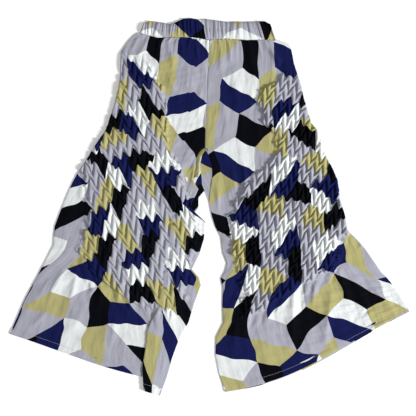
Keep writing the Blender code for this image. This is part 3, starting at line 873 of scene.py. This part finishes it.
@dataclass
class LegPanel:
    """One panel of a leg, front or back, as a thin sheet of pleated cloth."""

    name: str
    node: str
    layer: Layer
    side: int
    outline: LegOutline
    pleating: Pleating
    cloth_start: tuple[float, float]
    folds: tuple[Fold, ...] = ()
    tuck: tuple[Tuck, ...] = ()
    columns: int = 180
    pleat_rows: int = 385
    waist_rows: int = 22
    hem_rows: int = 42
    turn_steps: int = 7
    edge_steps: tuple[float, ...] = (0.0, 0.0012, 0.0035, 0.0075)
    grain: Grain = field(init=False)

    def __post_init__(self) -> None:
        """Measure the cloth."""
        self.grain = Grain(self.outline, self.side)

    def spots(self) -> Spots:
        """Lay out the grid of spots, close together where the cloth is pleated."""
        end = PLEATS_TO + 0.5
        rows = np.concatenate((np.linspace(0.0, PLEATS_FROM, self.waist_rows, endpoint=False),
                               np.linspace(PLEATS_FROM, end, self.pleat_rows, endpoint=False),
                               np.linspace(end, SECTIONS, self.hem_rows)))
        margin = self.edge_steps[-1]
        middle = np.linspace(margin, 1.0 - margin, self.columns)[1:-1]
        across = [*self.edge_steps, *middle, *(1.0 - step for step in reversed(self.edge_steps))]
        columns = [(share, 0.0, 0.0, 0.0) for share in across]
        if self.tuck and self.layer is Layer.FRONT:
            steps = [step / self.turn_steps for step in range(self.turn_steps + 1)]
            before = [column for column in columns if column[0] < TUCK_AT - 0.008]
            after = [(column[0], 1.0, 1.0, 1.0) for column in columns if column[0] > TUCK_AT + 0.008]
            turning = [(TUCK_AT, step, 0.0, 0.0) for step in steps] + [(TUCK_AT, 1.0, 1.0, step) for step in steps]
            columns = before + turning + after
        table = np.array(columns)
        shape = (len(rows), len(columns))
        return Spots(np.broadcast_to(rows[:, None], shape),
                     *(np.broadcast_to(table[None, :, number], shape) for number in range(4)))

    def through_tuck(self, at: Array, spots: Spots) -> tuple[Array, ...]:
        """Where the cloth lies once the tuck has taken up its share.

        Args:
            at: sections.
            spots: the spots, with how far each has gone through the tuck.

        Returns:
            Share across, advance across, rise, slope, and slip along the leg.
        """
        edge, under, turn, slip = (read_column(self.tuck, name, at) for name in ("edge", "under", "turn", "slip"))
        turn = np.radians(turn)
        radius = math.pi / turn
        width = np.linalg.norm(self.outline.place(at, np.ones_like(at)) - self.outline.place(at, np.zeros_like(at)),
                               axis=-1)
        start = edge + under / width
        first, last = turn * spots.turn_one, turn * (1.0 - spots.turn_two)
        second = spots.turn_two > 0
        advance = radius * np.sin(first) + under * spots.under * np.cos(turn)
        advance += np.where(second, radius * (np.sin(turn) - np.sin(last)), 0.0)
        rise = radius * (1.0 - np.cos(first)) + under * spots.under * np.sin(turn)
        rise += np.where(second, radius * (np.cos(last) - np.cos(turn)), 0.0)
        slope = np.where(spots.under > 0, last, first)
        across = spots.across
        flap = (spots.across > TUCK_AT) & (spots.turn_two >= 1)
        share = np.clip((across - TUCK_AT) / (1.0 - TUCK_AT), 0.0, 1.0)
        covered = (under + TUCK_MARGIN) / (width * (1.0 - edge))
        landed = smooth((1.0 - share) / (1.0 - covered))
        turning = ~flap & ((spots.turn_one > 0) | (spots.across == TUCK_AT))
        along = (spots.turn_one + spots.under + spots.turn_two) / 3.0
        main = ~flap & ~turning
        across = np.where(flap, start + (1.0 - start) * share, np.where(turning, start, start * across / TUCK_AT))
        advance = np.where(flap, advance * (1.0 - share), np.where(main, 0.0, advance))
        rise = np.where(flap, rise * landed, np.where(main, 0.0, rise))
        slope = np.where(turning, slope, 0.0)
        slip = np.where(flap, 0.0, np.where(turning, slip * (1.0 - along), slip * across / start))
        return across, advance, rise, slope, slip

    def surface(self, spots: Spots) -> tuple[Array, Array]:
        """Shape the cloth.

        Args:
            spots: spots on the cloth.

        Returns:
            Places in metres and cloth coordinates in metres.
        """
        at, across = spots.at, spots.across
        share = self.outline.pleated(at, across)
        uneven = unevenness(at, across, self.cloth_start[0])
        wave = unevenness(0.8 * at, 1.4 * across, self.cloth_start[1])
        profile, tip, taken_up = self.pleating.read(self.outline.place(at, across), wave)
        relief = profile * share
        cloth = self.cloth_under(at, across, share, tip, taken_up)
        advance = rise = slope = slip = np.zeros_like(at)
        if self.tuck and self.layer is Layer.FRONT:
            across, advance, rise, slope, slip = self.through_tuck(at, spots)
        place = self.outline.place(at, across)
        ahead = unit(self.outline.place(at, across + 0.01) - place)
        width = self.outline.width(at)
        from_outer, from_inner = across * width, (1.0 - across) * width
        below_crotch = smooth((spots.at - 5.8) / 0.3)
        notch = EDGE_NOTCH * (relief - 0.4 * share)
        sideways = advance - notch * smooth(1.0 - from_outer / 12.0)
        sideways = sideways + notch * smooth(1.0 - from_inner / 12.0) * below_crotch
        flat = place + ahead * sideways[..., None]
        flat[..., 0] -= RIDGE_LEAN * relief * smooth(from_outer / 12.0) * smooth(from_inner / 12.0)
        flat[..., 1] += slip
        if self.layer is Layer.FRONT:
            level = self.front_height(spots, at, across, relief, share, uneven) + rise
            flat -= ahead * (np.sin(slope) * 0.6)[..., None]
            level = level - (1.0 - np.cos(slope)) * 0.3
            side_level = SIDE_LEVEL
        else:
            level = BACK_LEVEL + relief * BACK_RELIEF + 0.5 * (1.0 - share) * (1.0 + uneven)
            flat[..., 1] += self.back_hem(spots.at, across)
            side_level = SIDE_LEVEL - 0.4
        inner_level = below_crotch * side_level + (1.0 - below_crotch) * (level - self.layer.value * CENTRE_DIP)
        level = side_level + (level - side_level) * rounding(from_outer / EDGE_ROUND)
        level = inner_level + (level - inner_level) * rounding(from_inner / EDGE_ROUND)
        flat[..., 0] += self.side * SEAM_GAP / 2
        places = np.concatenate((flat, level[..., None]), axis=-1) * MM
        return places, cloth * MM

    def cloth_under(self, at: Array, across: Array, share: Array, tip: Array, ahead: Array) -> Array:
        """Cloth coordinates, with what the pleats shift.

        Args:
            at: sections.
            across: shares across.
            share: how fully the cloth is pleated.
            tip: the zigzag, from 0 to 1 at its tip.
            ahead: how far the cloth runs ahead beside each crease, in pleats.

        Returns:
            Cloth coordinates in millimetres.
        """
        pleats = (PRINT_FOLLOWS * PLEAT_TIPS * (tip - 0.5) + ahead) * share
        shift = np.asarray(self.pleating.down) * pleats[..., None]
        across_shift = -self.side * shift[..., 0] / self.outline.width(at)
        cloth = self.grain.cloth(at - shift[..., 1] / SECTION_STEP, across + across_shift)
        return cloth + np.asarray(self.cloth_start)

    def front_height(self, spots: Spots, at: Array, across: Array, relief: Array, share: Array,
                     uneven: Array) -> Array:
        """Height of a front panel over the surface.

        Args:
            spots: the spots.
            at: their sections once tucked.
            across: their shares across.
            relief: height of the pleats, as a share.
            share: how fully they are pleated.
            uneven: slow unevenness of the cloth.

        Returns:
            Height of each spot.
        """
        height = FRONT_LEVEL + PUFF * np.sin(math.pi * np.clip(across, 0.0, 1.0)) ** 0.7 * smooth(spots.at)
        height = height + relief * self.pleating.height * (1.0 + PLEAT_UNEVEN * uneven)
        height = height + SOFT_RISE * (1.0 - share) * unevenness(1.9 * at, 2.3 * across, 1.7)
        gathered, number = ribs(across * (GATHERS / 2), 0.7)
        reach = taken_in_turn(GATHER_LENGTH, number)
        height = height + GATHER_RISE * gathered * smooth(1.0 - spots.at * SECTION_STEP / reach)
        hem = (SECTIONS - spots.at) * SECTION_STEP
        height = height + HEM_STEP * smooth((HEM_DEPTH + 1.0 - hem) / 2.0)
        height = height + self.runs(spots.at, spots.across, at, across)
        height = height + self.fold_rise(self.outline.place(at, across))
        return np.maximum(height, LOWEST_FRONT + 0.25 * (height - LOWEST_FRONT))

    def runs(self, cloth_at: Array, cloth_across: Array, at: Array, across: Array) -> Array:
        """Height of the soft ridges that run on below the pleats and die out.

        Args:
            cloth_at: sections in the cloth.
            cloth_across: shares across in the cloth.
            at: sections where the cloth lies.
            across: shares across where the cloth lies.

        Returns:
            Height of each spot.
        """
        below = np.clip(self.outline.pleated(cloth_at - 0.9, cloth_across)
                        - self.outline.pleated(cloth_at, cloth_across), 0.0, 1.0)
        number, _ = self.pleating.counted(self.outline.place(at, across))
        crest, _ = ribs(number + 0.2 * unevenness(0.6 * at, across, 2.0), 1.2)
        return RUN_RISE * below * (crest - 0.4)

    def fold_rise(self, place: Array) -> Array:
        """Height that the soft folds lift the cloth by."""
        rise = np.zeros(place.shape[:-1])
        for fold in self.folds:
            start = np.array((fold.start_x, fold.start_y), float)
            run = np.array((fold.end_x, fold.end_y), float) - start
            length = float(np.hypot(*run))
            share = np.clip(((place - start) @ run) / length ** 2, 0.0, 1.0)
            away = ((place - start) @ np.array((-run[1], run[0]))) / length
            away = (away + 3.0 * np.sin(2.4 * share + start[0])) / fold.half_width
            rise += FOLD_SCALE * fold.height * np.sin(math.pi * share) * np.exp(-np.abs(away) ** 1.6)
        return rise

    def back_hem(self, at: Array, across: Array) -> Array:
        """How far a back panel's hem lies from the front's, towards the waist."""
        low = smooth(at - SECTIONS + 1.5)
        shift = -self.outline.hem_shows * np.sin(math.pi * across) * low
        if self.tuck:
            slip, edge = (read_column(self.tuck, name, at) for name in ("slip", "edge"))
            shift = shift + np.where(across <= edge, slip * across / edge + HEM_TUCKED * low, 0.0)
        return shift

    def turned_hem(self, places: Array, cloth: Array) -> tuple[Array, Array]:
        """Turn the hem under.

        Args:
            places: the panel's places.
            cloth: its cloth coordinates.

        Returns:
            Both with the rows of the turned hem added.
        """
        under = -self.layer.value
        down = unit(places[-1, :, :2] - places[-2, :, :2])
        grain = unit(cloth[-1] - cloth[-2])
        rows, threads = [], []
        steps = [(math.radians(angle), 0.0) for angle in (45, 90, 135, 180)]
        for angle, back in steps + [(math.pi, 4.0), (math.pi, HEM_DEPTH)]:
            row = places[-1].copy()
            row[:, :2] += down * (HEM_TURN * math.sin(angle) - back) * MM
            row[:, 2] += under * HEM_TURN * (1.0 - math.cos(angle)) * MM
            rows.append(row)
            threads.append(cloth[-1] + grain * (HEM_TURN * angle + back) * MM)
        return np.concatenate((places, rows)), np.concatenate((cloth, threads))

    def build(self, finish: bpy.types.Material) -> bpy.types.Object:
        """Build the panel and dress it in the printed cloth."""
        places, cloth = self.surface(self.spots())
        places, cloth = self.turned_hem(places, cloth)
        mesh = sheet_mesh(self.name, places, cloth, face_down=(self.side == 1) != (self.layer is Layer.BACK))
        return dressed(self.name, mesh, finish)


@dataclass
class WaistPanel:
    """The front or the back of the gathered waistband."""

    name: str
    node: str
    layer: Layer
    cloth_start: tuple[float, float]
    gather_steps: int = 8
    up_steps: tuple[float, ...] = (0.0, 0.02, 0.06, 0.12, 0.2, 0.3, 0.4, 0.5, 0.6, 0.7, 0.8, 0.88, 0.94, 0.98, 1.0)
    swell: float = 2.6
    rib: float = 4.4

    def surface(self, along: Array, up: Array) -> tuple[Array, Array]:
        """Shape the band.

        Args:
            along: shares of the way along the band, left to right.
            up: shares of the way from its seam to its top edge.

        Returns:
            Places in metres and cloth coordinates in metres.
        """
        stations = np.linspace(0.0, 1.0, len(WAISTBAND))
        seam_x, seam_y, top_x, top_y = (np.interp(along, stations, [getattr(row, name) for row in WAISTBAND])
                                        for name in ("seam_x", "seam_y", "top_x", "top_y"))
        gathered, number = ribs(along * GATHERS + 0.5 * (up - 0.5) * np.sin(along * 40.0), 0.42)
        fine, _ = ribs(along * GATHERS * 2.3 + 0.8 * np.sin(along * 23.0), 0.5)
        gathered = gathered * (1.0 - 0.45 * smooth((0.30 * taken_in_turn(GATHER_DEPTH, number + 3) - up) / 0.12))
        gathered = 0.8 * gathered + 0.28 * fine
        x = seam_x + (top_x - seam_x) * up
        y = seam_y + SEAM_GAP / 2 + (top_y - seam_y) * up + 0.9 * (gathered - 0.5) * smooth((up - 0.6) / 0.4)
        full = 1.0 - np.abs(2.0 * up - 1.0) ** 3
        if self.layer is Layer.FRONT:
            level = FRONT_LEVEL - 0.4 + full * self.swell + gathered * self.rib * (0.55 + 0.45 * full)
        else:
            level = BACK_LEVEL + (1.0 - gathered * 0.8) * BACK_RELIEF * 0.8
        span = np.minimum(along, 1.0 - along) * BAND_WIDTH
        height = up * BAND_HEIGHT
        level = SIDE_LEVEL + (level - SIDE_LEVEL) * rounding(span / 4.0)
        level = SIDE_LEVEL + (level - SIDE_LEVEL) * rounding((BAND_HEIGHT - height) / 3.5)
        dip = level - self.layer.value * BAND_DIP
        level = dip + (level - dip) * rounding(height / 3.0)
        places = np.stack((x, y, level), axis=-1) * MM
        stretch = 1.0 + WAIST_CONTRACTION
        cloth = np.stack((BAND_WIDTH * stretch * (along - 0.5), height), axis=-1) + np.asarray(self.cloth_start)
        return places, cloth * MM

    def build(self, finish: bpy.types.Material) -> bpy.types.Object:
        """Build the band and dress it in the printed cloth."""
        steps = GATHERS * self.gather_steps
        along, up = np.meshgrid(np.linspace(0.0, 1.0, steps + 1), np.asarray(self.up_steps[::-1]))
        places, cloth = self.surface(along, up)
        mesh = sheet_mesh(self.name, places, cloth, face_down=self.layer is Layer.BACK)
        return dressed(self.name, mesh, finish)


@dataclass(frozen=True)
class TurnedEdge:
    """The narrow turned edge inside the opening at the crotch."""

    outer: tuple[tuple[float, float], ...] = ((-5, 146), (-17, 146), (-28, 136), (-34, 121), (-35.5, 101), (-40, 84),
                                              (-42, 72))
    inner: tuple[tuple[float, float], ...] = ((-4, 136), (-12, 139), (-21.5, 126), (-25.5, 115), (-27, 99), (-27, 90),
                                              (-29, 74))
    low: float = 1.9
    rise: float = 2.3
    steps_along: int = 73
    steps_across: int = 13

    def build(self, name: str, finish: bpy.types.Material) -> bpy.types.Object:
        """Build the rolled strip.

        Args:
            name: the piece's name.
            finish: its cloth.

        Returns:
            The strip.
        """
        along, across = np.meshgrid(np.linspace(0.0, 1.0, self.steps_along), np.linspace(0.0, 1.0, self.steps_across),
                                    indexing="ij")
        stations = np.linspace(0.0, 1.0, len(self.outer))
        outer, inner = (np.stack([np.interp(along, stations, [point[axis] for point in edge]) for axis in (0, 1)], -1)
                        for edge in (self.outer, self.inner))
        flat = outer + (inner - outer) * across[..., None]
        level = self.low + self.rise * np.sin(math.pi * across) ** 0.6 + 0.35 * np.sin(31.0 * along + 5.0 * across)
        places = np.concatenate((flat, level[..., None]), axis=-1) * MM
        cloth = np.stack((across * 9.0, along * 90.0), axis=-1) * MM
        return dressed(name, sheet_mesh(name, places, cloth, face_down=False), finish)


@dataclass(frozen=True)
class HemStitches:
    """The line of stitches that holds a turned hem."""

    length: float = 3.1
    gap: float = 1.0
    width: float = 0.8
    lift: float = 0.20
    sides: int = 6
    steps: tuple[float, ...] = (0.0, 0.14, 0.5, 0.86, 1.0)
    swell: tuple[float, ...] = (0.2, 0.8, 1.0, 0.8, 0.2)

    def build(self, name: str, panel: LegPanel, finish: bpy.types.Material) -> bpy.types.Object:
        """Sew along a panel's hem.

        Args:
            name: the piece's name.
            panel: the panel.
            finish: the thread.

        Returns:
            The stitches.
        """
        spots = panel.spots()
        row = Spots(np.full((1, spots.at.shape[1]), SECTIONS - HEM_DEPTH / SECTION_STEP),
                    *(getattr(spots, part)[:1] for part in ("across", "turn_one", "under", "turn_two")))
        line = panel.surface(row)[0][0] / MM
        run = np.concatenate(((0.0,), np.cumsum(np.linalg.norm(np.diff(line, axis=0), axis=1))))
        starts = np.arange(3.0, run[-1] - 6.0, self.length + self.gap)
        along = starts[:, None] + self.length * np.asarray(self.steps)
        centre = np.stack([np.interp(along, run, line[:, axis]) for axis in range(3)], axis=-1)
        centre[..., 2] += panel.layer.value * self.lift
        forward = unit(centre[:, -1] - centre[:, 0])[:, None]
        beside = unit(np.cross(forward, (0.0, 0.0, 1.0)))
        above = np.cross(beside, forward)
        turns = np.linspace(0.0, 2.0 * math.pi, self.sides, endpoint=False)
        radius = 0.5 * self.width * np.asarray(self.swell)
        rings = (beside[:, :, None] * np.cos(turns)[:, None] + 0.7 * above[:, :, None] * np.sin(turns)[:, None])
        places = (centre[:, :, None] + rings * radius[:, None, None]) * MM
        return self.piece(name, places, finish)

    def piece(self, name: str, places: Array, finish: bpy.types.Material) -> bpy.types.Object:
        """Make one piece of all the stitches.

        Args:
            name: the piece's name.
            places: stitches by steps by sides by 3, in metres.
            finish: the thread.

        Returns:
            The piece.
        """
        stitches, steps, sides = places.shape[:3]
        first = np.arange(stitches)[:, None, None] * steps * sides
        step = np.arange(steps - 1)[None, :, None] * sides
        side = np.arange(sides)[None, None, :]
        after = (side + 1) % sides
        base = first + step
        quads = np.stack(np.broadcast_arrays(base + side, base + after, base + sides + after, base + sides + side),
                         axis=-1).reshape(-1, 4)
        mesh = bpy.data.meshes.new(name)
        mesh.from_pydata(places.reshape(-1, 3).tolist(), [], quads.tolist())
        mesh.update()
        mesh.polygons.foreach_set("use_smooth", np.ones(len(quads), bool))
        return dressed(name, mesh, finish)


@dataclass(frozen=True)
class Studio:
    """Pale floor, soft light and a camera straight above."""

    frame_width: float = 1.040
    centre: tuple[float, float] = (-0.00425, -0.00375)
    lens: float = 100.0
    sensor: float = 36.0
    floor_size: float = 12.0

    def build(self) -> None:
        """Set up the floor, the lights and the camera."""
        self.floor()
        self.light("soft_key", (5.4, -2.0, 3.3), 1.4, 590.0)
        self.light("soft_fill", (-1.4, 0.6, 3.6), 3.0, 22.0)
        world = bpy.data.worlds.new("studio")
        world.use_nodes = True
        world.node_tree.nodes["Background"].inputs["Color"].default_value = (1.0, 1.0, 1.0, 1.0)
        world.node_tree.nodes["Background"].inputs["Strength"].default_value = 0.30
        bpy.context.scene.world = world
        bpy.context.scene.view_settings.view_transform = "Standard"
        self.camera()

    def floor(self) -> None:
        """Lay the floor just under the trousers."""
        half = self.floor_size / 2
        mesh = bpy.data.meshes.new("floor")
        mesh.from_pydata([(-half, -half, -0.0004), (half, -half, -0.0004), (half, half, -0.0004),
                          (-half, half, -0.0004)], [], [(0, 1, 2, 3)])
        tree = FinishTree("floor_paper")
        place = tree.node("ShaderNodeTexCoord", {}, {}, "Object")
        tree.set("Base Color", (0.93, 0.93, 0.93, 1.0))
        tree.set("Roughness", 0.9 + tree.noise(place, 40.0, 2.0) * 0.05)
        tree.set("Emission Color", (1.0, 1.0, 1.0, 1.0))
        tree.set("Emission Strength", 0.14)
        dressed("floor", mesh, tree.material)

    @staticmethod
    def light(name: str, place: tuple[float, float, float], size: float, power: float) -> None:
        """Add a soft light that faces the trousers.

        Args:
            name: the light's name.
            place: where it stands, in metres.
            size: its width, in metres.
            power: in watts.
        """
        data = bpy.data.lights.new(name, "AREA")
        data.size = size
        data.energy = power
        light = bpy.data.objects.new(name, data)
        light.location = place
        light.rotation_euler = (-Vector(place)).to_track_quat("-Z", "Y").to_euler()
        bpy.context.scene.collection.objects.link(light)

    def camera(self) -> None:
        """Put the camera straight above the trousers."""
        data = bpy.data.cameras.new("camera")
        data.lens = self.lens
        data.sensor_width = self.sensor
        camera = bpy.data.objects.new("camera", data)
        camera.location = (*self.centre, self.frame_width * self.lens / self.sensor)
        bpy.context.scene.collection.objects.link(camera)
        bpy.context.scene.camera = camera


def panels() -> tuple[LegPanel, ...]:
    """The four panels of the legs."""
    right = LegOutline(RIGHT_SECTIONS)
    left = LegOutline(LEFT_SECTIONS)
    right_back = LegOutline(RIGHT_SECTIONS, RIGHT_BACK_EDGE, BACK_HEM_SHOWS)
    left_back = LegOutline(LEFT_SECTIONS, LEFT_BACK_EDGE)
    right_pleats = Pleating((20.5, -8.2), (-11.4, -31.4), -1, 9.2)
    left_pleats = Pleating((-23.8, -9.3), (11.6, -32.3), 1, 6.6, (0.3, 0.2))
    coarse = {"columns": 120, "pleat_rows": 255, "waist_rows": 10, "hem_rows": 24}
    return (
        LegPanel("front_cloth_left", "front_leg_left", Layer.FRONT, -1, left, left_pleats, (31.0, 12.0), LEFT_FOLDS,
                 LEFT_TUCK),
        LegPanel("front_cloth_right", "front_leg_right", Layer.FRONT, 1, right, right_pleats, (-46.0, 38.0),
                 RIGHT_FOLDS),
        LegPanel("back_cloth_left", "back_leg_left", Layer.BACK, -1, left_back, left_pleats, (74.0, 51.0),
                 tuck=LEFT_TUCK, **coarse),
        LegPanel("back_cloth_right", "back_leg_right", Layer.BACK, 1, right_back, right_pleats, (12.0, 3.0),
                 **coarse),
    )


def main() -> None:
    """Build the trousers' looks and the studio round them."""
    logging.basicConfig(level=logging.INFO, format="%(message)s")
    log = logging.getLogger("trousers")
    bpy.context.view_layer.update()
    front = PrintedCloth("printed_cloth_front").material()
    back = PrintedCloth("printed_cloth_back").material()
    band = PrintedCloth("printed_cloth_band").material()
    thread = Thread().material()
    for panel in panels():
        is_front = panel.layer is Layer.FRONT
        piece = panel.build(front if is_front else back)
        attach(piece, "root")
        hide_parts(panel.node)
        sewing = HemStitches().build(panel.name.replace("cloth", "hem_stitches"), panel, thread)
        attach(sewing, "root")
        if panel.name == "back_cloth_left":
            edge = TurnedEdge().build("crotch_turned_edge", PrintedCloth("turned_cloth_olive", PlainDye()).material())
            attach(edge, "root")
        wide, long, area = panel.grain.cut()
        log.info("%s: %d faces", piece.name, len(piece.data.polygons))
    for waist in (WaistPanel("band_front", "waistband_front", Layer.FRONT, (-20.0, 30.0)),
                  WaistPanel("band_back", "waistband_back", Layer.BACK, (55.0, -35.0))):
        piece = waist.build(band)
        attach(piece, "root")
        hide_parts(waist.node)
        log.info("%s: %d faces", piece.name, len(piece.data.polygons))
    Studio().build()
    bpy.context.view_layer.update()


if __name__ == "__main__":
    main()
